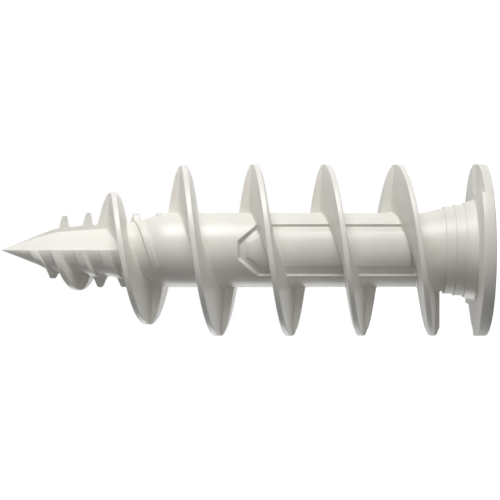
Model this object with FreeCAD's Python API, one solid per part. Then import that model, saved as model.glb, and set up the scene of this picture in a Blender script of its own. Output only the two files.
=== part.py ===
"""One-piece moulded plug for insulation board, with a self-drilling tip, a coarse
right-hand thread and a flanged head. Millimetres. The head's outer face lies on Z = 0
and the tip points up +Z. The mould opens along Y, so its parting plane is Y = 0."""

import FreeCAD
import Part
import math
import os

from FreeCAD import Vector

# Overall
plug_length = 50.0

# Flange, the round plate that the drive recess opens in
flange_diameter = 17.72
flange_thickness = 1.24
flange_edge_round = 0.15
flange_notch_start = 5.73
flange_notch_depth = 0.33

# Core, the round shaft between the head cone and the tip
core_diameter = 7.66

# Head cone, which widens from the core to the flange in three small steps
head_cone_height = 5.49
head_cone_root_diameter = 10.3
head_cone_slope = 0.22
head_step_count = 3
head_step_height = 0.11
head_step_pitch = 1.035
head_step_first = 1.36
head_step_taper = 0.07

# Main thread, single start
thread_diameter = 17.72
thread_lead = 7.35
thread_crest_width = 0.57
thread_flank_angle = 4.2
thread_first_crest = 9.15
thread_end_height = 4.70
thread_cone_slope = 0.485
thread_cone_offset = 0.35
thread_shoulder_radius = 14.0
thread_quarters_above_guard = 3

# Tip ribs, two low starts between the turns of the main thread
rib_crest_width = 0.55
rib_flank_angle = 9.6
rib_end_height = 33.45
rib_quarters_above_guard = (3, 1)

# Tip, a drill point that widens to the core in two cones
tip_point_slope = 0.40
tip_shank_slope = 0.08
tip_shank_base = 1.82
tip_shoulder_slope = 0.296
tip_shoulder_base = -1.192
tip_blend_radius = 6.0
tip_thread_start = 3.4

# Cutting flat, one quadrant of the tip taken down to a slanting face
flat_reach = 0.82
flat_reach_full_from = 4.7
flat_edge_share = 0.985
flat_start = 0.4
flat_length = 15.6
flat_sections = 12
flat_guard_overlap = 20
flat_guard_root_radius = 0.2

# Recessed panel in each side of the core
panel_nose_height = 25.4
panel_shoulder_height = 23.47
panel_end_height = 7.15
panel_half_width = 2.56
panel_nose_half_width = 0.90
panel_groove_depth = 0.42
panel_wall_draft = 0.22
panel_pad_depth = 0.22
panel_pad_margin = 0.55
panel_pad_bevel = 0.30
panel_pad_foot_sink = 0.1
panel_nose_margin_share = 1.4

# Six-lobe drive recess, number 40
recess_across_points = 6.75
recess_across_flats = 4.85
recess_point_radius = 0.50
recess_flute_radius = 1.60
recess_depth = 6.0

# Screw bore below the recess
bore_diameter = 3.5
bore_bottom_height = 34.0
bore_cone_angle = 59.0

# How finely the flights are lofted
sections_per_quarter = 4
section_points = 5
settling_rounds = 6

# Radius inside the core where the flights take root
flight_root_radius = 1.0

# How far a cutting body reaches past the outside of the plug
clearance = 1.0

# Share of a quarter turn below which a last quarter isn't made
smallest_share = 0.01

thread_radius = thread_diameter / 2
core_radius = core_diameter / 2
flange_radius = flange_diameter / 2
bore_radius = bore_diameter / 2

AXIS = Vector(0, 0, 1)
ORIGIN = Vector(0, 0, 0)


class Flight:
    """A right-hand helical flight with a trapezoid section."""

    def __init__(self, crest_width, flank_angle, outer_radius, height_at_start):
        self.crest_width = crest_width
        self.flank_tangent = math.tan(math.radians(flank_angle))
        self.outer_radius = outer_radius
        self.height_at_start = height_at_start

    def crest_height(self, angle):
        """Height of the middle of the crest at an angle in degrees."""
        return self.height_at_start + thread_lead * angle / 360

    def width(self, radius):
        """Axial width of the section at a radius."""
        return self.crest_width + 2 * (self.outer_radius - radius) * self.flank_tangent

    def crest_radius(self, angle):
        """Radius of the crest, which the tip's cone limits."""
        return min(envelope_radius(self.crest_height(angle)), self.outer_radius)

    def hidden_flank(self, parting_angle, side, swing, radius):
        """Height of the filled flank at a radius. swing is the angle from the parting
        plane. The mould can't reach behind the flight, so on each line along Y the
        flank is as far out as the flight is anywhere nearer to the opening."""
        base = self.crest_height(parting_angle)
        across = radius * math.cos(swing)
        rise = thread_lead / (2 * math.pi)
        ratio = rise / self.flank_tangent
        widest = math.sqrt((across**2 + math.sqrt(across**4 + (2 * ratio * across) ** 2)) / 2)
        limit = self.outer_radius
        for _ in range(settling_rounds):
            turned = math.acos(min(1.0, across / limit))
            limit = max(radius, self.crest_radius(parting_angle + side * math.degrees(turned)))
        reach = min(max(widest, radius), limit)
        return base + side * (rise * math.acos(min(1.0, across / reach)) + self.width(reach) / 2)


def envelope_radius(height):
    """Radius that the thread's crest keeps to: a cone from the tip, then a cylinder."""
    depth = plug_length - height
    cone = thread_cone_offset + thread_cone_slope * depth
    half_turn = math.atan(thread_cone_slope) / 2
    tangent_length = thread_shoulder_radius * math.tan(half_turn)
    corner = (thread_radius - thread_cone_offset) / thread_cone_slope
    if depth >= corner + tangent_length:
        return thread_radius
    if depth <= corner - tangent_length * math.cos(2 * half_turn):
        return cone
    short = corner + tangent_length - depth
    return thread_radius - thread_shoulder_radius + math.sqrt(thread_shoulder_radius**2 - short**2)


def core_outline_radius(depth):
    """Radius of the tip's core at a distance from the point."""
    point = tip_point_slope * depth
    shank = tip_shank_base + tip_shank_slope * depth
    shoulder = tip_shoulder_base + tip_shoulder_slope * depth
    return min(point, max(shank, shoulder), core_radius)


def rounded_chain(points, radii):
    """Edges through points, with an arc of the given radius at each inner point."""
    edges = []
    start = points[0]
    for index in range(1, len(points) - 1):
        corner, ahead = points[index], points[index + 1]
        radius = radii[index - 1]
        back = (start - corner).normalize()
        forth = (ahead - corner).normalize()
        turn = math.pi - back.getAngle(forth)
        if radius <= 0 or turn < 1e-6:
            edges.append(Part.LineSegment(start, corner).toShape())
            start = corner
            continue
        reach = radius * math.tan(turn / 2)
        first = corner + back * reach
        last = corner + forth * reach
        inward = (back + forth).normalize()
        middle = corner + inward * (radius / math.cos(turn / 2) - radius)
        edges.append(Part.LineSegment(start, first).toShape())
        edges.append(Part.Arc(first, middle, last).toShape())
        start = last
    edges.append(Part.LineSegment(start, points[-1]).toShape())
    return edges


def turned(edges):
    """Solid of revolution about the axis from a closed profile in the XZ plane."""
    return Part.Face(Part.Wire(edges)).revolve(ORIGIN, AXIS, 360)


def head_and_core():
    """Flange, stepped head cone, shaft and drill point as one turned blank."""
    cone_top = flange_thickness + head_cone_height
    points = [Vector(0, 0, 0), Vector(flange_radius, 0, 0)]
    points.append(Vector(flange_radius, 0, flange_thickness))
    points.append(Vector(head_cone_root_diameter / 2, 0, flange_thickness))
    step_top = head_step_first + head_step_pitch * (head_step_count - 1)
    radius = core_radius + (head_cone_height - step_top) * head_cone_slope
    outline = []
    for index in range(head_step_count):
        height = flange_thickness + step_top - index * head_step_pitch
        outline.append(Vector(radius, 0, height))
        outline.append(Vector(radius + head_step_height, 0, height))
        radius += head_step_height + head_step_taper
    points.extend(reversed(outline))
    points.append(Vector(core_radius, 0, cone_top))
    sharp = [0.0] * len(outline)

    shoulder_depth = (core_radius - tip_shoulder_base) / tip_shoulder_slope
    shank_depth = (tip_shank_base - tip_shoulder_base) / (tip_shoulder_slope - tip_shank_slope)
    point_depth = tip_shank_base / (tip_point_slope - tip_shank_slope)
    for depth in (shoulder_depth, shank_depth, point_depth, 0):
        points.append(Vector(core_outline_radius(depth), 0, plug_length - depth))
    radii = [flange_edge_round, flange_edge_round, 0.0, *sharp, 0.0]
    radii += [tip_blend_radius, tip_blend_radius, tip_blend_radius]
    edges = rounded_chain(points, radii)
    edges.append(Part.LineSegment(points[-1], points[0]).toShape())
    return turned(edges)


def swept_slab(flight, section, first_angle, last_angle):
    """Solid swept along the flight's helix. The section holds (radius, height) points
    measured from the middle of the crest."""
    turns = (last_angle - first_angle) / 360
    helix = Part.makeHelix(thread_lead, thread_lead * turns, flight.outer_radius)
    corners = [Vector(radius, 0, height) for radius, height in section]
    profile = Part.makePolygon(corners + corners[:1])
    slab = Part.Wire(helix.Edges).makePipeShell([profile], True, True)
    if slab.Volume < 0:
        slab.reverse()
    slab.rotate(ORIGIN, AXIS, first_angle)
    slab.translate(Vector(0, 0, flight.crest_height(first_angle)))
    return slab


def flight_section(flight, parting_angle, side, swing):
    """Closed section of a flight in the half plane at an angle. One flank is straight,
    and the other, which the mould can't undercut, is filled back to the parting plane."""
    angle = parting_angle + side * swing
    middle = flight.crest_height(angle)
    bearing = math.radians(angle)
    crest = flight.crest_radius(angle)

    def at(radius, height):
        return Vector(radius * math.cos(bearing), radius * math.sin(bearing), height)

    root = flight_root_radius
    open_root = at(root, middle - side * flight.width(root) / 2)
    open_crest = at(crest, middle - side * flight.width(crest) / 2)
    filled = [at(crest, middle + side * flight.width(crest) / 2)]
    for step in range(1, section_points):
        radius = crest - (crest - root) * (step / (section_points - 1)) ** 2
        height = flight.hidden_flank(parting_angle, side, math.radians(swing), radius)
        filled.append(at(radius, height))
    filled_edge = Part.BSplineCurve()
    filled_edge.interpolate(filled)
    edges = [Part.LineSegment(open_root, open_crest).toShape()]
    edges.append(Part.LineSegment(open_crest, filled[0]).toShape())
    edges.append(filled_edge.toShape())
    edges.append(Part.LineSegment(filled[-1], open_root).toShape())
    return Part.Wire(edges)


def flight_quarter(flight, quarter, highest):
    """A quarter turn of a flight, lofted from its sections. Quarters start at the
    parting plane and at the plane across it in turn, so the filled flank changes side."""
    side = 1 if quarter % 2 == 0 else -1
    parting_angle = 90 * (quarter + (quarter % 2))
    last_angle = min(90 * (quarter + 1), (highest - flight.height_at_start) * 360 / thread_lead)
    swings = [side * (90 * quarter - parting_angle), side * (last_angle - parting_angle)]
    step = (swings[1] - swings[0]) / sections_per_quarter
    sections = []
    for index in range(sections_per_quarter + 1):
        swing = swings[0] + step * index
        sections.append(flight_section(flight, parting_angle, side, swing))
    return Part.makeLoft(sections, True, False)


def flight_quarters(flight, lowest, highest):
    """All the quarter turns between two heights. Where the crest is at its full radius
    a quarter is the one half a turn below it, turned and raised."""
    below = Part.makeCylinder(thread_radius + clearance, lowest)
    per_quarter = thread_lead / 4
    root_width = flight.width(flight_root_radius)
    first = math.floor((lowest - root_width - flight.height_at_start) / per_quarter)
    last = math.ceil((highest - flight.height_at_start) / per_quarter - smallest_share)
    pieces = []
    full = {}
    for quarter in range(first, last):
        start = flight.crest_height(90 * quarter)
        top = start + per_quarter + root_width
        bottom = start - root_width
        is_full = envelope_radius(top) == thread_radius and flight.outer_radius == thread_radius
        like = full.get(quarter % 2)
        if is_full and like is not None:
            piece = like[1].copy()
            half_turns = (quarter - like[0]) // 2
            piece.rotate(ORIGIN, AXIS, 180 * half_turns)
            piece.translate(Vector(0, 0, thread_lead / 2 * half_turns))
        else:
            piece = flight_quarter(flight, quarter, highest)
            if is_full:
                full[quarter % 2] = (quarter, piece)
        if bottom < lowest:
            piece = piece.cut(below)
        pieces.extend(piece.Solids)
    return pieces


def thread_flight():
    return Flight(thread_crest_width, thread_flank_angle, thread_radius, thread_first_crest)


def guard_turns():
    """Whole turns up to the guard, the thread's turn that the cutting flat ends at."""
    lowest = plug_length - flat_start - flat_length
    return math.ceil((lowest - thread_first_crest) / thread_lead)


def flight_end(flight, quarters):
    """Height at which a flight ends, some quarter turns past the guard's crest."""
    return min(flight.crest_height(360 * guard_turns() + 90 * quarters), plug_length - tip_thread_start)


def main_thread():
    """All turns of the main thread, from the head cone to the cutting flat."""
    flight = thread_flight()
    highest = flight_end(flight, thread_quarters_above_guard)
    return flight_quarters(flight, thread_end_height, highest)


def tip_ribs():
    """Two low starts, a third and two thirds of the lead above the main thread."""
    ribs = []
    for start, quarters in enumerate(rib_quarters_above_guard, 1):
        height = thread_first_crest + thread_lead * start / 3
        flight = Flight(rib_crest_width, rib_flank_angle, core_radius, height)
        ribs.extend(flight_quarters(flight, rib_end_height, flight_end(flight, quarters)))
    return ribs


def panel_outline(margin):
    """Closed outline of the panel in the XZ plane, with each edge drawn in by a margin
    and the nose by more. Two slanting edges narrow the panel to its nose."""
    run = panel_half_width - panel_nose_half_width
    slant = math.atan2(run, panel_nose_height - panel_shoulder_height)
    drawn_in = margin / math.cos(slant)
    half = panel_half_width - margin
    top = panel_nose_height - margin * panel_nose_margin_share
    nose = panel_nose_half_width + (panel_nose_height - top) * math.tan(slant) - drawn_in
    shoulder = top - (half - nose) / math.tan(slant)
    low = panel_end_height + margin
    points = [(-half, low), (half, low), (half, shoulder), (nose, top), (-nose, top), (-half, shoulder)]
    corners = [Vector(x, 0, z) for x, z in points]
    return Part.Face(Part.makePolygon(corners + corners[:1]))


def panel_cutter(side):
    """A pocket with drafted side walls and a curved floor, round a low bevelled pad."""
    reach = Vector(0, side * core_diameter, 0)
    pocket = panel_outline(0.0).extrude(reach).common(panel_draft_block(side))
    floor = Part.makeCylinder(core_radius - panel_groove_depth, plug_length)
    pocket = pocket.cut(floor)
    pad_ring = Part.makeCylinder(core_radius - panel_pad_depth, plug_length)
    foot = Part.Wire(panel_outline(panel_pad_margin).Edges)
    crown = Part.Wire(panel_outline(panel_pad_margin + panel_pad_bevel).Edges)
    foot.translate(Vector(0, side * panel_floor_depth(), 0))
    crown.translate(Vector(0, side * (core_radius - panel_pad_depth), 0))
    pad = Part.makeLoft([foot, crown], True, True).common(pad_ring)
    return pocket.cut(pad)


def panel_draft_block(side):
    """Prism as wide as the panel, whose sides slant in from the core's surface down."""
    edge = math.sqrt(core_radius**2 - panel_half_width**2)
    foot = edge - panel_groove_depth
    foot_half = panel_half_width - panel_wall_draft
    half = [(foot_half, foot), (panel_half_width, edge), (panel_half_width, core_diameter)]
    outline = half + [(-across, out) for across, out in reversed(half)]
    corners = [Vector(across, side * out, 0) for across, out in outline]
    return Part.Face(Part.makePolygon(corners + corners[:1])).extrude(AXIS * plug_length)


def panel_floor_depth():
    """Distance from the axis where the pad's foot is drawn, below the groove's floor."""
    floor_radius = core_radius - panel_groove_depth
    return math.sqrt(floor_radius**2 - panel_half_width**2) - panel_pad_foot_sink


def cutting_flat():
    """The quadrant of the tip that is taken off, as far as the thread's flank."""
    outside = thread_radius + clearance
    sections = []
    for index in range(flat_sections + 1):
        depth = flat_start + flat_length * index / flat_sections
        radius = core_outline_radius(depth)
        blend = min(1.0, depth / flat_reach_full_from)
        far = radius * (1.0 - (1.0 - flat_reach) * blend)
        near = radius * flat_edge_share
        height = plug_length - depth
        corners = [Vector(0, -near, height), Vector(far, 0, height)]
        corners += [Vector(outside, 0, height), Vector(outside, -outside, height)]
        corners.append(Vector(0, -outside, height))
        sections.append(Part.makePolygon(corners + corners[:1]))
    block = Part.makeLoft(sections, True, False)

    flight = thread_flight()
    crest_angle = 360 * guard_turns()
    inner = flat_guard_root_radius
    outer = outside * math.sqrt(2) + clearance
    section = [(inner, flight.width(inner) / 2), (outer, flight.width(outer) / 2)]
    section += [(outer, -flat_length), (inner, -flat_length)]
    first_angle = crest_angle - 90 - flat_guard_overlap
    guard = swept_slab(flight, section, first_angle, crest_angle + flat_guard_overlap)
    return block.cut(guard)


def drive_recess():
    """Six-lobe recess: six points joined by six flutes, tangent to each other."""
    points_centre = recess_across_points / 2 - recess_point_radius
    flutes_centre = recess_across_flats / 2 + recess_flute_radius
    edges = []
    for lobe in range(6):
        angle = math.radians(60 * lobe)
        half = math.radians(30)
        centre = Vector(points_centre * math.cos(angle), points_centre * math.sin(angle), 0)
        joints = []
        for turn in (-half, half):
            flute = Vector(math.cos(angle + turn), math.sin(angle + turn), 0) * flutes_centre
            joints.append(centre + (flute - centre).normalize() * recess_point_radius)
        outer = centre + (centre * (recess_point_radius / centre.Length))
        edges.append(Part.Arc(joints[0], outer, joints[1]).toShape())
        after = angle + half
        dip = Vector(math.cos(after), math.sin(after), 0) * (recess_across_flats / 2)
        next_joint = FreeCAD.Rotation(AXIS, 60).multVec(joints[0])
        edges.append(Part.Arc(joints[1], dip, next_joint).toShape())
    return Part.Face(Part.Wire(edges)).extrude(Vector(0, 0, recess_depth))


def screw_bore():
    """Blind bore with a conical end, from the recess's floor."""
    cone = bore_radius / math.tan(math.radians(bore_cone_angle))
    straight = Part.makeCylinder(bore_radius, bore_bottom_height - cone)
    end = Part.makeCone(bore_radius, 0, cone, Vector(0, 0, bore_bottom_height - cone))
    return straight.fuse(end)


def flange_notch(turn):
    """Shallow cut in the rim of the flange's inner face, up to the parting plane."""
    block = Part.makeBox(flange_radius, flange_radius, flange_notch_depth)
    floor_height = flange_thickness - flange_notch_depth
    block.translate(Vector(flange_notch_start, -flange_radius, floor_height))
    block.rotate(ORIGIN, AXIS, turn)
    return block


def build_plug():
    """The whole plug as one solid."""
    core = head_and_core()
    core = core.cut([panel_cutter(-1), panel_cutter(1)])
    core = core.cut([flange_notch(0), flange_notch(180)])
    body = core.fuse(main_thread() + tip_ribs())
    body = body.cut([cutting_flat(), drive_recess().fuse(screw_bore())])
    return body.Solids[0]


def main():
    os.makedirs("parts", exist_ok=True)
    plug = build_plug()
    print("faces", len(plug.Faces), "valid", plug.isValid(), "volume", round(plug.Volume, 1))
    plug.exportStep("parts/plug.step")


main()
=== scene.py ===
"""The looks of a moulded plug for insulation board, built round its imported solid.

The plug is one plastic moulding, so the scene shows it as one closed piece. Its surface is
worked out here again, finer than the solid's mesh, with rounded crests and a small fillet
where each flight meets the core. Shape sizes are in millimetres, and meshes, lamps and the
camera are in metres.
"""

import logging
import math
from dataclasses import dataclass, field
from enum import Enum
from typing import Any

import bmesh
import bpy
import numpy as np
from mathutils import Matrix, Vector


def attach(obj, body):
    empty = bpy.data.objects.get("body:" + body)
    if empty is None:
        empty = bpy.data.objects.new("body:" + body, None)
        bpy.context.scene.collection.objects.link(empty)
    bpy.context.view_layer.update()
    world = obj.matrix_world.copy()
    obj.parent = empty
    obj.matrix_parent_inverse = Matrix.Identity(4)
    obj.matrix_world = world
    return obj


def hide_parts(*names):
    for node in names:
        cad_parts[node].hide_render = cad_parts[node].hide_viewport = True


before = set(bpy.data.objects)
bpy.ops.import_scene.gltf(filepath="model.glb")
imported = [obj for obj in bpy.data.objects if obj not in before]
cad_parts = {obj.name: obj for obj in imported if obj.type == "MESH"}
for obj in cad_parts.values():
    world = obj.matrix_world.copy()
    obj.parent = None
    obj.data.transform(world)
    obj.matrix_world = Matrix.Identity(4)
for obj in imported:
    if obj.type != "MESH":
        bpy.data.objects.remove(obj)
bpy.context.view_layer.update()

LOG = logging.getLogger("plug")
MILLIMETRE = 0.001

# Sizes that more than one class uses, in millimetres
PLUG_LENGTH = 50.0
OUTER_RADIUS = 8.86
SHAFT_RADIUS = 3.83
THREAD_LEAD = 7.35

# Angles in degrees, and the turns from the first crest to the one that the cutting flat ends at
TURN = 360.0
QUARTER = 90.0
GUARD_TURNS = 4

# Half turn in radians below which a corner gets no arc, and the least length to divide by
STRAIGHT = 1e-4
TINY = 1e-6

Array = np.ndarray


class Cut(Enum):
    """How two closed pieces are put together."""

    JOIN = "UNION"
    TAKE_AWAY = "DIFFERENCE"


class Flank(Enum):
    """The two flanks of a flight, by the direction they face along the axis."""

    UPPER = 1
    LOWER = -1


# Shared mesh work


def closed_mesh(name: str, points: Array, faces: list[list[int]]) -> bpy.types.Object:
    """Makes an object from points in millimetres, with its faces turned outwards.

    Args:
        name: Name of the object and its mesh.
        points: Vertices, one row each.
        faces: Vertex numbers of each face.

    Returns:
        The object, linked to the scene, at the origin.
    """
    mesh = bpy.data.meshes.new(name)
    mesh.from_pydata((points * MILLIMETRE).tolist(), [], faces)
    work = bmesh.new()
    work.from_mesh(mesh)
    bmesh.ops.recalc_face_normals(work, faces=work.faces)
    work.to_mesh(mesh)
    work.free()
    piece = bpy.data.objects.new(name, mesh)
    bpy.context.scene.collection.objects.link(piece)
    return piece


def ring_faces(rows: int, columns: int) -> list[list[int]]:
    """Four-sided faces of a grid whose rows are closed rings.

    Args:
        rows: Number of rings.
        columns: Number of points in each ring.

    Returns:
        Vertex numbers of each face, row by row.
    """
    row = np.arange(rows - 1)[:, None]
    column = np.arange(columns)[None, :]
    above = row + 1
    beside = (column + 1) % columns
    corners = [row * columns + column, row * columns + beside]
    corners += [above * columns + beside, above * columns + column]
    return np.stack(corners, axis=-1).reshape(-1, 4).tolist()


def put_together(base: bpy.types.Object, tool: bpy.types.Object, cut: Cut) -> None:
    """Joins a closed piece to another or takes it away, and deletes it.

    Args:
        base: Piece that keeps the result.
        tool: Piece that is used up.
        cut: Which of the two is done.
    """
    step = base.modifiers.new("step", "BOOLEAN")
    step.solver = "MANIFOLD"
    step.operation = cut.value
    step.object = tool
    settled = base.evaluated_get(bpy.context.evaluated_depsgraph_get())
    result = bpy.data.meshes.new_from_object(settled)
    spent = base.data
    base.modifiers.clear()
    base.data = result
    bpy.data.meshes.remove(spent)
    bpy.data.meshes.remove(tool.data)


def rounded_path(corners: list[tuple[float, float, float]], steps: int) -> Array:
    """Runs through corners, each replaced by an arc tangent to its two runs.

    Args:
        corners: (radius, height, arc radius) of each corner.
        steps: Number of runs in each arc.

    Returns:
        Points (radius, height) along the path.
    """
    points = [np.array([corners[0][:2]])]
    for before, corner, after in zip(corners, corners[1:], corners[2:]):
        middle = np.array(corner[:2])
        back = np.array(before[:2]) - middle
        forth = np.array(after[:2]) - middle
        back = back / np.linalg.norm(back)
        forth = forth / np.linalg.norm(forth)
        half = math.acos(float(np.clip(back @ forth, -1, 1))) / 2
        if corner[2] == 0 or math.pi / 2 - half < STRAIGHT:
            points.append(middle[None, :])
            continue
        inward = (back + forth) / np.linalg.norm(back + forth)
        centre = middle + inward * corner[2] / math.sin(half)
        reach = corner[2] / math.tan(half)
        start = middle + back * reach - centre
        end = middle + forth * reach - centre
        share = np.linspace(0, 1, steps + 1)[:, None]
        opening = math.pi - 2 * half
        arc = np.sin((1 - share) * opening) * start + np.sin(share * opening) * end
        points.append(centre + arc / math.sin(opening))
    points.append(np.array([corners[-1][:2]]))
    return np.concatenate(points)


# Flights of the thread and of the tip


@dataclass(frozen=True)
class Envelope:
    """What the crests keep to: a cone from the tip, a rounded shoulder and a cylinder."""

    length: float = PLUG_LENGTH
    radius: float = OUTER_RADIUS
    slope: float = 0.485
    offset: float = 0.35
    shoulder: float = 14.0

    def at(self, height: Array) -> Array:
        """Radius at a height, which is the cone, the shoulder's arc or the cylinder."""
        depth = self.length - height
        half_turn = math.atan(self.slope) / 2
        tangent = self.shoulder * math.tan(half_turn)
        corner = (self.radius - self.offset) / self.slope
        cone = self.offset + self.slope * depth
        short = np.clip(corner + tangent - depth, 0, self.shoulder)
        arc = self.radius - self.shoulder + np.sqrt(self.shoulder**2 - short**2)
        on_cone = depth <= corner - tangent * math.cos(2 * half_turn)
        return np.where(on_cone, cone, np.where(depth < corner + tangent, arc, self.radius))


@dataclass(frozen=True)
class Flight:
    """One right-hand helical flight, as the mould can release it.

    The mould opens along Y. On each quarter turn one flank is a plain helical ramp, and
    the other, which faces away from the opening, is filled back to the parting plane. A
    flight that isn't filled, such as a low rib, has two plain flanks.
    """

    crest_width: float
    flank_angle: float
    outer_radius: float
    first_crest: float
    envelope: Envelope
    is_filled: bool = True
    belly: float = 0.0
    lead: float = THREAD_LEAD
    settling: int = 6

    def crest_height(self, angle: Array) -> Array:
        """Height of the middle of the crest at an angle in degrees."""
        return self.first_crest + self.lead * angle / TURN

    def width(self, angle: Array, radius: Array) -> Array:
        """Axial width of the plain section, which grows from the crest inwards. The belly
        is what it gains midway between two parting planes."""
        flare = 2 * math.tan(math.radians(self.flank_angle))
        crest = self.crest_width + self.belly * np.sin(np.radians(angle)) ** 2
        return crest + (self.crest_radius(angle) - radius) * flare

    def crest_radius(self, angle: Array) -> Array:
        """Radius of the crest, as the envelope limits it."""
        return np.minimum(self.envelope.at(self.crest_height(angle)), self.outer_radius)

    def filled_height(self, parting: Array, side: Array, swing: Array, radius: Array) -> Array:
        """Height of the filled flank.

        On a line along Y at the distance x = r cos(swing) from the axis, the flank is as
        far out as the flight is anywhere on that line. Its height there is
        rise * acos(x / r') + width(r') / 2, which is greatest at one radius r'.

        Args:
            parting: Angle in degrees of the parting plane that the swing starts from.
            side: 1 where the upper flank is filled, -1 where the lower one is.
            swing: Angle from the parting plane, in radians.
            radius: Distance from the axis.

        Returns:
            Height of the flank.
        """
        across = radius * np.cos(swing)
        rise = self.lead / (2 * math.pi)
        ratio = rise / math.tan(math.radians(self.flank_angle))
        widest = np.sqrt((across**2 + np.sqrt(across**4 + (2 * ratio * across) ** 2)) / 2)
        limit = np.full(across.shape, self.outer_radius)
        for _ in range(self.settling):
            turned = np.degrees(np.arccos(np.clip(across / limit, -1, 1)))
            limit = np.maximum(radius, self.crest_radius(parting + side * turned))
        reach = np.clip(widest, radius, limit)
        turned = np.arccos(np.clip(across / reach, -1, 1))
        width = self.width(parting + side * np.degrees(turned), reach)
        return self.crest_height(parting) + side * (rise * turned + width / 2)

    def flank_height(self, turns: "Turns", flank: Flank, radius: Array) -> Array:
        """Height of one flank, plain or filled, at each section and radius."""
        plain = self.crest_height(turns.angle) + flank.value * self.width(turns.angle, radius) / 2
        if not self.is_filled:
            return plain
        filled = self.filled_height(turns.parting, turns.side, turns.swing, radius)
        return np.where(turns.side == flank.value, filled, plain)


@dataclass(frozen=True)
class Turns:
    """The angles at which a flight's sections stand, as columns, one row per section."""

    angle: Array
    parting: Array
    side: Array

    @property
    def swing(self) -> Array:
        """Angle from the parting plane in radians, never negative."""
        return np.radians(np.abs(self.angle - self.parting))

    @staticmethod
    def between(first: float, last: float, steps: int, gap: float) -> "Turns":
        """Sections between two angles, with a pair close together at each parting plane.

        Args:
            first: First angle in degrees.
            last: Last angle in degrees.
            steps: Runs in each quarter turn.
            gap: Half the angle between the pair, in degrees.

        Returns:
            The sections' angles, parting planes and filled sides.
        """
        angles, partings, sides = [], [], []
        for quarter in range(math.floor(first / QUARTER), math.ceil(last / QUARTER)):
            side = 1 if quarter % 2 == 0 else -1
            start, end = QUARTER * quarter, QUARTER * (quarter + 1)
            parting = start if side > 0 else end
            span = np.linspace(start, end, steps + 1)
            span = np.where(span == parting, parting + side * gap, span)
            if side > 0 and end < last:
                span = span[:-1]
            span = span[(span >= first) & (span < last + gap)]
            if start < last < end:
                span = np.append(span[span < last - gap], last)
            angles.append(span)
            partings.append(np.full(span.shape, parting))
            sides.append(np.full(span.shape, side))
        stacked = [np.concatenate(part)[:, None] for part in (angles, partings, sides)]
        return Turns(*stacked)


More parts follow.
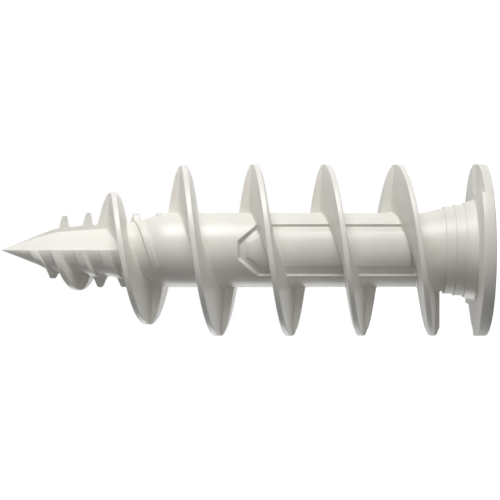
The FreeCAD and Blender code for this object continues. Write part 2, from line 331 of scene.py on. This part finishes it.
@dataclass
class FlightShell:
    """Closed shell of one stretch of a flight.

    Each section is a ring of points: out along the lower flank, round the crest's two
    rounded edges and back along the upper flank. The flanks leave the core in a fillet,
    and their root is buried in it. A pair of sections with a small gap at each parting
    plane keeps the filled flank's corner crisp, and the points of a flank are kept apart.
    """

    flight: Flight
    core: "Core"
    first: float
    last: float
    fillet: float
    edge_round: float
    least_fillet: float = 0.02
    fillet_room: float = 0.8
    tooth_swing: float = 8.0
    rib_share: float = 0.6
    rib_swing: float = 60.0
    buried: float = 0.35
    steps: int = 28
    gap: float = 0.06
    fillet_shares: tuple[float, ...] = (-0.25, 0.0, 0.08, 0.2, 0.36, 0.6, 1.0)
    straight_runs: int = 5
    round_runs: int = 4
    apart: float = 0.002
    settling: int = 4
    first_guess: float = 0.9
    probe: float = 0.05

    def flank_radii(self, surface: Array, edge: Array, root: Array) -> Array:
        """Radii of a flank's points: root, fillet, then even runs out to the edge."""
        count = len(self.fillet_shares) + 1
        shares = np.array(self.fillet_shares)[None, :]
        room = edge - self.apart * np.arange(count, 1, -1)[None, :]
        near = np.minimum(surface + self.fillet * shares, room)
        start = np.minimum(root, near[:, :1] - self.apart)
        runs = np.linspace(0, 1, self.straight_runs + 1)[1:]
        far = near[:, -1:] + (edge - near[:, -1:]) * runs
        return np.concatenate([start, near, far], axis=1)

    def fillet_height(self, surface: Array, radius: Array, room: Array) -> Array:
        """What the fillet adds to the flank: a quarter circle from flank to core."""
        size = np.clip(room, self.least_fillet, self.fillet)
        inside = np.clip((surface + size - radius) / size, 0, 1)
        return size * (1 - np.sqrt(1 - inside**2))

    def crest(self, turns: Turns, surface: Array) -> Array:
        """Radius of the crest. The thread has its full height all round. A rib has it in a
        tooth at each parting plane, is low beside the tooth and rises again to a share."""
        full = self.flight.crest_radius(turns.angle)
        if self.flight.is_filled:
            return full
        swing = np.degrees(turns.swing)
        tooth = np.exp(-((swing / self.tooth_swing) ** 2))
        share = tooth + (1 - tooth) * self.rib_share * np.clip(swing / self.rib_swing, 0, 1)
        return np.minimum(full, surface) + np.maximum(full - surface, 0) * share

    def flank_points(
        self, turns: Turns, flank: Flank, root: Array, surface: Array
    ) -> tuple[Array, Array]:
        """Radii and heights along one flank, from the root to the crest's rounded edge."""
        crest = self.crest(turns, surface)
        edge = crest - self.edge_round
        radii = self.flank_radii(surface, edge, root)
        heights = self.flight.flank_height(turns, flank, radii)
        added = self.fillet_height(surface, radii, (edge - surface) * self.fillet_room)
        heights = heights + flank.value * added
        corner_height = self.flight.flank_height(turns, flank, crest)
        inset = corner_height - flank.value * self.edge_round
        share = np.linspace(0, 1, self.round_runs + 1)[1:][None, :]
        start, bend, end = (1 - share) ** 2, 2 * share * (1 - share), share**2
        round_radii = start * radii[:, -1:] + (bend + end) * crest
        round_heights = start * heights[:, -1:] + bend * corner_height + end * inset
        return np.hstack([radii, round_radii]), np.hstack([heights, round_heights])

    def surface_radius(self, turns: Turns, flank: Flank) -> Array:
        """Radius at which a flank meets the core. The flank's height and the core's radius
        depend on each other, so each is worked out from the other a few times."""
        radius = np.full(turns.angle.shape, self.core.shaft_radius * self.first_guess)
        for _ in range(self.settling):
            height = self.flight.flank_height(turns, flank, radius) + flank.value * self.probe
            radius = self.core.surface(np.radians(turns.angle), height)
        return radius

    def build(self, name: str) -> bpy.types.Object:
        """Makes the closed shell.

        Args:
            name: Name of the object.

        Returns:
            The object.
        """
        turns = Turns.between(self.first, self.last, self.steps, self.gap)
        upper_surface = self.surface_radius(turns, Flank.UPPER)
        lower_surface = self.surface_radius(turns, Flank.LOWER)
        root = np.minimum(upper_surface, lower_surface) - self.buried
        lower = self.flank_points(turns, Flank.LOWER, root, lower_surface)
        upper = self.flank_points(turns, Flank.UPPER, root, upper_surface)
        radius = np.hstack([lower[0], upper[0][:, ::-1]])
        height = np.hstack([lower[1], upper[1][:, ::-1]])
        angle = np.radians(turns.angle)
        points = np.stack([radius * np.cos(angle), radius * np.sin(angle), height], axis=-1)
        rows, columns = radius.shape
        faces = ring_faces(rows, columns)
        faces.append(list(range(columns)))
        faces.append(list(range((rows - 1) * columns, rows * columns)))
        return closed_mesh(name, points.reshape(-1, 3), faces)


# Core: flange, head cone, shaft and tip


@dataclass
class Panel:
    """Recessed panel on each side of the core: a groove round a low bevelled pad."""

    nose: float = 25.4
    shoulder: float = 23.47
    end: float = 7.15
    half_width: float = 2.62
    nose_half_width: float = 0.90
    groove: float = 0.42
    pad_rise: float = 0.20
    pad_margin: float = 0.55
    pad_bevel: float = 0.30
    nose_margin_share: float = 1.4
    side_wall: float = 0.05
    side_rise: float = 0.16
    side_reach: float = 0.5
    end_wall: float = 0.14

    def depth(self, across: Array, height: Array) -> Array:
        """Depth below the shaft's surface.

        Each edge of the outline gives a distance inwards. The least of them, as a share
        of the wall's width, is how much of the groove's depth has been reached, and less
        the margin, as a share of the bevel's width, how much of the pad's rise has.

        Args:
            across: Distance from the panel's middle line, measured on the shaft.
            height: Height along the axis.

        Returns:
            Depth in millimetres, 0 outside the panel.
        """
        run = self.half_width - self.nose_half_width
        rise = self.nose - self.shoulder
        side = self.half_width - np.abs(across)
        end = height - self.end
        nose = self.nose - height
        slant = nose * run + (self.nose_half_width - np.abs(across)) * rise
        slant = slant / math.hypot(run, rise)
        ends = np.minimum(end, np.minimum(nose, slant))
        wall = np.minimum(side / self.side_wall, ends / self.end_wall)
        inner = np.minimum(np.minimum(side, end), np.minimum(slant, nose / self.nose_margin_share))
        near_side = np.clip(1 - side / self.side_reach, 0, 1)
        groove = (self.groove - self.side_rise * near_side) * np.clip(wall, 0, 1)
        pad = np.clip((inner - self.pad_margin) / self.pad_bevel, 0, 1)
        return groove - self.pad_rise * pad


@dataclass
class RowPlan:
    """Where the rings of the core's points stand along the axis. A run is their spacing."""

    close_run: float = 0.07
    panel_run: float = 1.2
    shaft_run: float = 0.9
    tip_run: float = 0.27
    margin: float = 0.2
    reach: float = 1.2
    clear_of_end: float = 1.6
    clear_of_nose: float = 0.6
    shaft_stop: float = 33.0
    tip_start: float = 33.3
    least_run: float = 0.02
    point_gap: float = 0.05

    def heights(self, panel: Panel, bends: Array, length: float) -> Array:
        """Heights of the rings, close together at the panel's two ends.

        Args:
            panel: The recessed panel.
            bends: Heights at which the turned outline changes its slope.
            length: Length of the plug.

        Returns:
            The heights in rising order.
        """
        bands = [
            (panel.end - self.margin, panel.end + self.reach + self.close_run / 2, self.close_run),
            (panel.end + self.clear_of_end, panel.shoulder - self.reach, self.panel_run),
            (panel.shoulder - self.reach, panel.nose + self.margin, self.close_run),
            (panel.nose + self.clear_of_nose, self.shaft_stop, self.shaft_run),
            (self.tip_start, length - self.point_gap, self.tip_run),
        ]
        rows = [np.arange(*band) for band in bands] + [bends[bends > panel.nose]]
        rows = np.sort(np.concatenate(rows))
        keep = np.append(np.diff(rows) > self.least_run, True)
        return rows[keep & (rows < length - self.point_gap)]


@dataclass
class CuttingFlat:
    """The quadrant of the tip that is taken down to a slanting face, above one flight."""

    length: float = PLUG_LENGTH
    reach: float = 0.82
    full_from: float = 4.7
    edge_share: float = 0.985
    softness: float = 40.0
    tucked: float = 0.2

    def radius(self, angle: Array, height: Array, radius: Array, guard: Flight) -> Array:
        """Radius of the tip where the flat cuts it.

        The face is the chord from (reach * R, 0) to (0, -R), so along a ray its radius is
        1 / (cos / far + |sin| / near). It ends tucked under the upper flank of the guard.

        Args:
            angle: Angle round the axis in radians.
            height: Height along the axis.
            radius: Radius of the uncut tip.
            guard: The flight that the face ends at.

        Returns:
            The smaller of the two radii, with the edge between them softened.
        """
        turn = np.degrees(np.angle(np.exp(1j * angle)))
        blend = np.clip((self.length - height) / self.full_from, 0, 1)
        far = radius * (1 - (1 - self.reach) * blend)
        near = radius * self.edge_share
        chord = np.abs(np.cos(angle)) / np.maximum(far, TINY)
        chord = 1 / (chord + np.abs(np.sin(angle)) / np.maximum(near, TINY))
        base = np.maximum(radius, TINY)
        soft = (chord**-self.softness + base**-self.softness) ** (-1 / self.softness)
        guard_angle = TURN * GUARD_TURNS + turn
        top = guard.crest_height(guard_angle) + guard.width(guard_angle, radius) / 2
        is_cut = (turn < 0) & (turn > -QUARTER) & (height > top - self.tucked)
        return np.where(is_cut, soft, radius)


@dataclass
class Core:
    """Everything but the flights: drive recess, bore, flange, head cone, shaft and tip."""

    guard: Flight
    length: float = PLUG_LENGTH
    shaft_radius: float = SHAFT_RADIUS
    shaft_start: float = 8.15
    flange_radius: float = OUTER_RADIUS
    flange_thickness: float = 1.24
    flange_round: float = 0.15
    flange_fillet: float = 0.2
    notch_start: float = 5.73
    notch_depth: float = 0.33
    notch_margin: float = 1.0
    cone_height: float = 5.49
    cone_root_radius: float = 5.15
    cone_slope: float = 0.22
    cone_blend: float = 3.0
    step_count: int = 3
    step_height: float = 0.17
    step_pitch: float = 1.01
    step_first: float = 1.12
    step_taper: float = 0.01
    step_round: float = 0.04
    point_slope: float = 0.40
    shank_slope: float = 0.08
    shank_base: float = 1.82
    shoulder_slope: float = 0.296
    shoulder_base: float = -1.192
    tip_blend: float = 6.0
    recess_across_points: float = 6.75
    recess_across_flats: float = 4.85
    recess_point_radius: float = 0.50
    recess_flute_radius: float = 1.60
    recess_depth: float = 6.0
    recess_ring_shares: tuple[float, ...] = (1.0, 0.66, 0.33)
    mouth_chamfer: float = 0.12
    bore_radius: float = 1.75
    bore_end: float = 34.0
    bore_cone_angle: float = 59.0
    bore_rings: int = 8
    head_arc_runs: int = 5
    tip_arc_runs: int = 10
    columns: int = 288
    column_gap: float = 0.1
    column_room: float = 0.3
    rows: RowPlan = field(default_factory=RowPlan)
    panel: Panel = field(default_factory=Panel)
    flat: CuttingFlat = field(default_factory=CuttingFlat)

    def head_outline(self) -> Array:
        """Rim, flange and stepped head cone as points (radius, height)."""
        top = self.flange_thickness
        corners = [(self.cone_root_radius, 0.0, 0.0)]
        corners.append((self.flange_radius, 0.0, self.flange_round))
        corners.append((self.flange_radius, top, self.flange_round))
        corners.append((self.cone_root_radius, top, self.flange_fillet))
        highest = self.step_first + self.step_pitch * (self.step_count - 1)
        radius = self.shaft_radius + (self.cone_height - highest) * self.cone_slope
        steps = []
        for index in range(self.step_count):
            height = top + highest - index * self.step_pitch
            steps.append((radius, height, self.step_round))
            steps.append((radius + self.step_height, height, self.step_round))
            radius += self.step_height + self.step_taper
        corners.extend(reversed(steps))
        corners.append((self.shaft_radius, top + self.cone_height, self.cone_blend))
        corners.append((self.shaft_radius, self.shaft_start, 0.0))
        return rounded_path(corners, self.head_arc_runs)

    def tip_outline(self) -> Array:
        """Shaft, shoulder, shank and point as points (radius, height)."""
        shoulder = (self.shaft_radius - self.shoulder_base) / self.shoulder_slope
        shank = (self.shank_base - self.shoulder_base) / (self.shoulder_slope - self.shank_slope)
        point = self.shank_base / (self.point_slope - self.shank_slope)
        corners = [(self.shaft_radius, self.panel.end, 0.0)]
        corners.append((self.shaft_radius, self.length - shoulder, self.tip_blend))
        shank_radius = self.shank_base + self.shank_slope * shank
        corners.append((shank_radius, self.length - shank, self.tip_blend))
        corners.append((self.point_slope * point, self.length - point, self.tip_blend))
        corners.append((0.0, self.length, 0.0))
        return rounded_path(corners, self.tip_arc_runs)

    def turned_radius(self, height: Array) -> Array:
        """Radius of the turned outline above the flange, with neither panel nor flat."""
        head = self.head_outline()
        head = head[head[:, 1] > self.flange_thickness]
        outline = np.concatenate([head[:-1], self.tip_outline()])
        order = np.argsort(outline[:, 1], kind="stable")
        return np.interp(height, outline[order, 1], outline[order, 0])

    def surface(self, angle: Array, height: Array) -> Array:
        """Radius of the finished core at an angle in radians and a height."""
        radius = self.turned_radius(height)
        across = self.shaft_radius * np.cos(angle)
        radius = radius - self.panel.depth(across, height)
        return self.flat.radius(angle, height, radius, self.guard)

    def recess_radius(self, angle: Array) -> Array:
        """Radius of the six-lobe recess: a point's arc, or a flute's between two points."""
        points = self.recess_across_points / 2 - self.recess_point_radius
        flutes = self.recess_across_flats / 2 + self.recess_flute_radius
        sixth = math.pi / 3
        turn = np.abs((angle + sixth / 2) % sixth - sixth / 2)
        to_flute = np.array([flutes * math.cos(sixth / 2) - points, flutes * math.sin(sixth / 2)])
        to_joint = to_flute / np.linalg.norm(to_flute) * self.recess_point_radius
        joint_turn = math.atan2(to_joint[1], points + to_joint[0])
        point_room = np.maximum(self.recess_point_radius**2 - (points * np.sin(turn)) ** 2, 0)
        on_point = points * np.cos(turn) + np.sqrt(point_room)
        other = sixth / 2 - turn
        flute_room = np.maximum(self.recess_flute_radius**2 - (flutes * np.sin(other)) ** 2, 0)
        on_flute = flutes * np.cos(other) - np.sqrt(flute_room)
        return np.where(turn < joint_turn, on_point, on_flute)

    def column_angles(self) -> Array:
        """Angles of the columns in radians: even, with pairs at the walls of the panel
        and of the flat, so that those walls stay crisp."""
        even = np.arange(self.columns) * TURN / self.columns
        edges = np.array([self.panel.half_width, self.panel.half_width - self.panel.side_wall])
        walls = np.degrees(np.arccos(edges / self.shaft_radius))
        sides = np.concatenate([walls, TURN / 2 - walls])
        flat = [0.0, TURN - self.column_gap, 3 * QUARTER, 3 * QUARTER + self.column_gap]
        extra = np.concatenate([sides, TURN - sides, flat])
        clear = np.abs(even[:, None] - extra[None, :]).min(axis=1) > self.column_room
        return np.radians(np.sort(np.concatenate([even[clear], extra])))

    def inner_rings(self, angle: Array) -> list[tuple[Array, float]]:
        """Rings of the bore and the recess, from the bore's end outwards.

        Args:
            angle: Angles of the columns in radians.

        Returns:
            Radius at each angle, and height, of every ring.
        """
        bore = np.full(angle.shape, self.bore_radius)
        lobes = self.recess_radius(angle)
        cone = self.bore_radius / math.tan(math.radians(self.bore_cone_angle))
        wall = np.linspace(self.bore_end - cone, self.recess_depth, self.bore_rings)
        rings = [(bore / 2, self.bore_end - cone / 2)]
        rings += [(bore, height) for height in wall]
        rings.append(((lobes + bore) / 2, self.recess_depth))
        rings += [(lobes, self.recess_depth * share) for share in self.recess_ring_shares]
        rings.append((lobes, self.mouth_chamfer))
        rings.append((lobes + self.mouth_chamfer, 0.0))
        return rings

    def build(self, name: str) -> bpy.types.Object:
        """Makes the closed core, with the rim notched.

        Args:
            name: Name of the object.

        Returns:
            The object.
        """
        angle = self.column_angles()
        even = np.ones(angle.shape)
        levels = self.rows.heights(self.panel, self.tip_outline()[:, 1], self.length)
        rings = self.inner_rings(angle)
        rings += [(even * radius, height) for radius, height in self.head_outline()[:-1]]
        rings += [(self.surface(angle, even * level), level) for level in levels]
        radius = np.stack([ring[0] for ring in rings])
        height = np.stack([even * ring[1] for ring in rings])
        points = np.stack([radius * np.cos(angle), radius * np.sin(angle), height], axis=-1)
        rows, columns = radius.shape
        faces = ring_faces(rows, columns)
        bottom, top = rows * columns, rows * columns + 1
        ring = np.arange(columns)
        beside = (ring + 1) % columns
        faces += np.stack([np.full(columns, bottom), beside, ring], axis=1).tolist()
        last = (rows - 1) * columns
        faces += np.stack([np.full(columns, top), last + ring, last + beside], axis=1).tolist()
        poles = np.array([[0, 0, self.bore_end], [0, 0, self.length]])
        piece = closed_mesh(name, np.concatenate([points.reshape(-1, 3), poles]), faces)
        for turn in (0.0, math.pi):
            put_together(piece, self.notch(turn), Cut.TAKE_AWAY)
        return piece

    def notch(self, turn: float) -> bpy.types.Object:
        """Block that cuts the flange's inner face, turned about the axis."""
        floor = self.flange_thickness - self.notch_depth
        outside = self.flange_radius + self.notch_margin
        low = np.array([self.notch_start, -outside, floor])
        high = np.array([outside, 0.0, self.flange_thickness + self.notch_margin])
        corner = np.array([[i, j, k] for i in (0, 1) for j in (0, 1) for k in (0, 1)])
        points = low + (high - low) * corner
        spin = np.array([math.cos(turn), math.cos(turn), 1.0])
        faces = [[0, 1, 3, 2], [4, 6, 7, 5], [0, 4, 5, 1], [2, 3, 7, 6], [0, 2, 6, 4], [1, 5, 7, 3]]
        return closed_mesh("notch", points * spin, faces)


# The whole moulding


@dataclass
class Plug:
    """The one-piece plug: a core, the main thread and two low ribs on the tip. Each pair of
    edges is the fillet at the core and the round of the crest."""

    first_crest: float = 9.15
    thread_width: float = 0.54
    thread_angle: float = 4.2
    thread_end: float = 4.70
    thread_edges: tuple[float, float] = (0.16, 0.09)
    rib_width: float = 0.50
    rib_angle: float = 9.6
    rib_belly: float = 0.12
    rib_end: float = 33.45
    rib_edges: tuple[float, float] = (0.08, 0.06)
    quarters_above_guard: tuple[int, int, int] = (3, 3, 1)
    run_in: float = 2.0
    drum_radius: float = 12.0
    drum_depth: float = 20.0
    drum_sides: int = 48
    sharp_angle: float = 32.0
    envelope: Envelope = field(default_factory=Envelope)

    def thread(self) -> Flight:
        """The deep main flight, which also guards the cutting flat."""
        width, angle = self.thread_width, self.thread_angle
        return Flight(width, angle, OUTER_RADIUS, self.first_crest, self.envelope)

    def rib(self, start: int) -> Flight:
        """One of the low flights, a third or two thirds of the lead above the thread."""
        height = self.first_crest + THREAD_LEAD * start / 3
        width, angle = self.rib_width, self.rib_angle
        envelope, belly = self.envelope, self.rib_belly
        return Flight(width, angle, SHAFT_RADIUS, height, envelope, is_filled=False, belly=belly)

    def stretches(self, flight: Flight, lowest: float, quarters: int) -> list[tuple[float, float]]:
        """Angles between which a flight runs. The thread runs on, and the ribs leave out
        the quadrant that the cutting flat takes off above the guard.

        Args:
            flight: The flight.
            lowest: Height below which it is cut away.
            quarters: Quarter turns that it runs past the guard's crest.

        Returns:
            First and last angle of each stretch, in degrees.
        """
        start = TURN * math.floor((lowest - self.run_in - flight.first_crest) / flight.lead)
        crest = TURN * GUARD_TURNS
        last = crest + QUARTER * quarters
        if flight.is_filled:
            return [(start, last)]
        spans = [(start, crest - QUARTER), (crest, last)]
        return [span for span in spans if span[0] < span[1]]

    def below(self, height: float) -> bpy.types.Object:
        """Closed drum that reaches from under the plug up to a height."""
        sides = self.drum_sides
        angle = np.arange(sides) * math.tau / sides
        ring = np.stack([np.cos(angle), np.sin(angle), np.zeros(sides)], axis=1) * self.drum_radius
        points = np.concatenate([ring - [0, 0, self.drum_depth], ring + [0, 0, height]])
        faces = ring_faces(2, sides) + [list(range(sides)), list(range(sides, 2 * sides))]
        return closed_mesh("drum", points, faces)

    def build(self) -> bpy.types.Object:
        """Makes the whole plug as one closed piece.

        Returns:
            The object, shaded smooth except at its sharp edges.
        """
        guard = self.thread()
        core = Core(guard)
        plug = core.build("plug_moulding")
        flights = [(guard, self.thread_end, self.thread_edges)]
        flights += [(self.rib(start), self.rib_end, self.rib_edges) for start in (1, 2)]
        for (flight, lowest, edges), quarters in zip(flights, self.quarters_above_guard):
            for first, last in self.stretches(flight, lowest, quarters):
                shell = FlightShell(flight, core, first, last, *edges).build("flight")
                put_together(shell, self.below(lowest), Cut.TAKE_AWAY)
                put_together(plug, shell, Cut.JOIN)
        mesh = plug.data
        mesh.polygons.foreach_set("use_smooth", np.ones(len(mesh.polygons), dtype=bool))
        mesh.set_sharp_from_angle(angle=math.radians(self.sharp_angle))
        return plug


# Finish


@dataclass(frozen=True)
class NylonFinish:
    """Light warm-grey polyamide as it leaves the mould."""

    colour: tuple[float, float, float] = (0.80, 0.78, 0.725)
    roughness: float = 0.36
    roughness_spread: float = 0.10
    grain_size: float = 0.35
    grain_depth: float = 0.006
    grain_strength: float = 0.35
    mottle: float = 0.05
    scatter_weight: float = 0.05
    scatter_radius: tuple[float, float, float] = (1.0, 0.9, 0.75)
    scatter_scale: float = 0.0012
    clearness: float = 1.53

    def material(self) -> bpy.types.Material:
        """Builds the material.

        Returns:
            The finished material.
        """
        material = bpy.data.materials.new("plug_nylon")
        material.use_nodes = True
        tree = material.node_tree
        shader = tree.nodes["Principled BSDF"]
        place = tree.nodes.new("ShaderNodeTexCoord")
        grain = tree.nodes.new("ShaderNodeGroup")
        grain.node_tree = moulded_grain()
        grain.inputs["Colour"].default_value = (*self.colour, 1.0)
        grain.inputs["Size"].default_value = self.grain_size * MILLIMETRE
        grain.inputs["Mottle"].default_value = self.mottle
        grain.inputs["Roughness"].default_value = self.roughness
        grain.inputs["Spread"].default_value = self.roughness_spread
        bump = tree.nodes.new("ShaderNodeBump")
        bump.inputs["Strength"].default_value = self.grain_strength
        bump.inputs["Distance"].default_value = self.grain_depth * MILLIMETRE
        tree.links.new(place.outputs["Object"], grain.inputs["Place"])
        tree.links.new(grain.outputs["Colour"], shader.inputs["Base Color"])
        tree.links.new(grain.outputs["Roughness"], shader.inputs["Roughness"])
        tree.links.new(grain.outputs["Height"], bump.inputs["Height"])
        tree.links.new(bump.outputs["Normal"], shader.inputs["Normal"])
        shader.inputs["IOR"].default_value = self.clearness
        shader.inputs["Subsurface Weight"].default_value = self.scatter_weight
        shader.inputs["Subsurface Radius"].default_value = self.scatter_radius
        shader.inputs["Subsurface Scale"].default_value = self.scatter_scale
        return material


def moulded_grain() -> bpy.types.NodeTree:
    """Node group for a moulded surface: mottled colour, uneven gloss and fine grain.

    Returns:
        The group. Its outputs are a colour, a roughness and a height.
    """
    group = bpy.data.node_groups.new("moulded_grain", "ShaderNodeTree")
    face = group.interface
    face.new_socket("Place", in_out="INPUT", socket_type="NodeSocketVector")
    face.new_socket("Colour", in_out="INPUT", socket_type="NodeSocketColor")
    for name in ("Size", "Mottle", "Roughness", "Spread"):
        face.new_socket(name, in_out="INPUT", socket_type="NodeSocketFloat")
    face.new_socket("Colour", in_out="OUTPUT", socket_type="NodeSocketColor")
    face.new_socket("Roughness", in_out="OUTPUT", socket_type="NodeSocketFloat")
    face.new_socket("Height", in_out="OUTPUT", socket_type="NodeSocketFloat")
    nodes, links = group.nodes, group.links
    given = nodes.new("NodeGroupInput")
    result = nodes.new("NodeGroupOutput")

    def arithmetic(operation: str, first: Any, second: Any) -> Any:
        """Adds one calculation node and gives its output."""
        node = nodes.new("ShaderNodeMath")
        node.operation = operation
        for socket, value in zip(node.inputs, (first, second)):
            if isinstance(value, float):
                socket.default_value = value
            else:
                links.new(value, socket)
        return node.outputs[0]

    def noise(share: float, detail: float) -> Any:
        """Adds a noise whose scale is a share of that of the grain."""
        node = nodes.new("ShaderNodeTexNoise")
        links.new(given.outputs["Place"], node.inputs["Vector"])
        links.new(arithmetic("DIVIDE", share, given.outputs["Size"]), node.inputs["Scale"])
        node.inputs["Detail"].default_value = detail
        return node.outputs["Fac"]

    fine = noise(share=1.0, detail=3.0)
    broad = noise(share=0.08, detail=4.0)
    swing = arithmetic("SUBTRACT", broad, 0.5)
    shade = arithmetic("ADD", arithmetic("MULTIPLY", swing, given.outputs["Mottle"]), 1.0)
    tint = nodes.new("ShaderNodeVectorMath")
    tint.operation = "SCALE"
    links.new(given.outputs["Colour"], tint.inputs[0])
    links.new(shade, tint.inputs["Scale"])
    uneven = arithmetic("MULTIPLY", swing, given.outputs["Spread"])
    gloss = arithmetic("ADD", given.outputs["Roughness"], uneven)
    links.new(tint.outputs[0], result.inputs["Colour"])
    links.new(gloss, result.inputs["Roughness"])
    links.new(fine, result.inputs["Height"])
    return group


# Stage, light and camera


@dataclass(frozen=True)
class Lamp:
    """A square area lamp that faces the plug: power in watts, side and place in metres."""

    name: str
    power: float
    size: float
    place: tuple[float, float, float]

    def build(self, aim: Vector) -> None:
        """Adds the lamp to the scene, turned to the point that it aims at."""
        light = bpy.data.lights.new(self.name, "AREA")
        light.size = self.size
        light.energy = self.power
        lamp = bpy.data.objects.new(self.name, light)
        lamp.location = self.place
        towards = aim - Vector(self.place)
        lamp.rotation_euler = towards.to_track_quat("-Z", "Y").to_euler()
        bpy.context.scene.collection.objects.link(lamp)


@dataclass
class Studio:
    """White floor, pale surroundings, camera and three soft lamps: a key from the +X side,
    a weak fill from behind on the -X side, and a weak one on the tip's side. The pairs for
    the floor are a distance from the plug's axis in metres and a value there."""

    floor_size: float = 6.0
    floor_roughness: float = 0.9
    # The floor's colour is darker close to the plug's foot: painted shade.
    foot_painted_shade: tuple[float, float] = (0.012, 0.5)
    floor_diffuse: tuple[float, float] = (0.035, 0.95)
    near_glow: tuple[float, float] = (0.08, 0.95)
    far_glow: tuple[float, float] = (0.30, 1.0)
    lamps: tuple[Lamp, ...] = (
        Lamp("key_lamp", 0.79, 0.16, (0.245, -0.13, 0.04)),
        Lamp("fill_lamp", 0.19, 0.16, (-0.19, 0.18, 0.03)),
        Lamp("tip_lamp", 0.16, 0.12, (0.06, -0.15, 0.25)),
    )
    world_level: float = 0.045
    aim: tuple[float, float, float] = (0.0, 0.0, 0.022)
    camera_distance: float = 0.1427
    camera_height: float = 0.01913
    lens: float = 99.4
    sensor_width: float = 36.0
    shift: float = -0.1
    clip: tuple[float, float] = (0.01, 20.0)

    def white(self) -> bpy.types.Material:
        """A floor that takes shadows. Its colour is darker close to the foot: painted shade,
        which also dims the light it gives back onto the flange's underside. Camera, mirror and
        glass rays see it near white round the plug and fully white further off, where the lamps
        don't reach.

        Returns:
            The material.
        """
        material = bpy.data.materials.new("floor_white")
        material.use_nodes = True
        tree = material.node_tree
        shader = tree.nodes["Principled BSDF"]
        shader.inputs["Roughness"].default_value = self.floor_roughness
        shader.inputs["Specular IOR Level"].default_value = 0.0
        shader.inputs["Emission Color"].default_value = (1, 1, 1, 1)
        place = tree.nodes.new("ShaderNodeTexCoord")
        distance = tree.nodes.new("ShaderNodeVectorMath")
        distance.operation = "LENGTH"
        tree.links.new(place.outputs["Object"], distance.inputs[0])

        def by_distance(near: tuple[float, float], far: tuple[float, float]) -> Any:
            """Adds a ramp between two (distance, value) pairs and gives its output."""
            ramp = tree.nodes.new("ShaderNodeMapRange")
            ramp.inputs["From Min"].default_value, ramp.inputs["To Min"].default_value = near
            ramp.inputs["From Max"].default_value, ramp.inputs["To Max"].default_value = far
            tree.links.new(distance.outputs["Value"], ramp.inputs["Value"])
            return ramp.outputs["Result"]

        # Painted shade: the floor's colour is darker close to the foot.
        shaded_floor_colour = by_distance(self.foot_painted_shade, self.floor_diffuse)
        glow = by_distance(self.near_glow, self.far_glow)
        tree.links.new(shaded_floor_colour, shader.inputs["Base Color"])
        seen = tree.nodes.new("ShaderNodeMath")
        seen.operation = "MULTIPLY"
        tree.links.new(glow, seen.inputs[0])
        tree.links.new(seen_rays(tree), seen.inputs[1])
        tree.links.new(seen.outputs[0], shader.inputs["Emission Strength"])
        return material

    def build(self) -> list[bpy.types.Object]:
        """Makes the floor, the lamps, the world and the camera.

        Returns:
            The pieces that aren't part of the plug.
        """
        half = self.floor_size / 2
        mesh = bpy.data.meshes.new("floor")
        corners = [(-half, -half, 0), (half, -half, 0), (half, half, 0), (-half, half, 0)]
        mesh.from_pydata(corners, [], [(0, 1, 2, 3)])
        floor = bpy.data.objects.new("floor", mesh)
        floor.data.materials.append(self.white())
        bpy.context.scene.collection.objects.link(floor)
        for lamp in self.lamps:
            lamp.build(Vector(self.aim))
        self.world()
        self.camera()
        return [floor]

    def world(self) -> None:
        """Even grey light from all round, which the camera sees as white."""
        world = bpy.data.worlds.new("studio")
        world.use_nodes = True
        tree = world.node_tree
        ground = tree.nodes["Background"]
        ground.inputs["Color"].default_value = (1, 1, 1, 1)
        rays = seen_rays(tree)
        level = tree.nodes.new("ShaderNodeMapRange")
        level.inputs["To Min"].default_value = self.world_level
        level.inputs["To Max"].default_value = 1.0
        tree.links.new(rays, level.inputs["Value"])
        tree.links.new(level.outputs["Result"], ground.inputs["Strength"])
        bpy.context.scene.world = world

    def camera(self) -> None:
        """Camera at the photograph's angle: the plug's axis runs across the picture, with
        its tip to the left and +X upwards."""
        right, up, back = Vector((0, 0, -1)), Vector((1, 0, 0)), Vector((0, -1, 0))
        lens = bpy.data.cameras.new("camera")
        lens.lens = self.lens
        lens.sensor_width = self.sensor_width
        lens.shift_x = self.shift
        lens.clip_start, lens.clip_end = self.clip
        camera = bpy.data.objects.new("camera", lens)
        place = back * self.camera_distance + Vector((0, 0, self.camera_height))
        spin = Matrix((right, up, back)).transposed().to_4x4()
        camera.matrix_world = Matrix.Translation(place) @ spin
        bpy.context.scene.collection.objects.link(camera)
        bpy.context.scene.camera = camera


def seen_rays(tree: bpy.types.NodeTree) -> Any:
    """Adds nodes that give 1 for rays from the camera, off gloss and through glass."""
    path = tree.nodes.new("ShaderNodeLightPath")
    names = ("Is Camera Ray", "Is Glossy Ray", "Is Transmission Ray")
    total = path.outputs[names[0]]
    for name in names[1:]:
        most = tree.nodes.new("ShaderNodeMath")
        most.operation = "MAXIMUM"
        tree.links.new(total, most.inputs[0])
        tree.links.new(path.outputs[name], most.inputs[1])
        total = most.outputs[0]
    return total


def main() -> None:
    """Builds the plug, its finish and the studio."""
    logging.basicConfig(level=logging.INFO, format="%(name)s: %(message)s")
    bpy.context.scene.view_settings.view_transform = "Standard"
    plug = Plug().build()
    plug.data.materials.clear()
    plug.data.materials.append(NylonFinish().material())
    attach(plug, "root")
    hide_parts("plug")
    LOG.info("%s: %d faces", plug.name, len(plug.data.polygons))
    stage = Studio().build()
    LOG.info("stage: %s", ", ".join(piece.name for piece in stage))


if __name__ == "__main__":
    main()
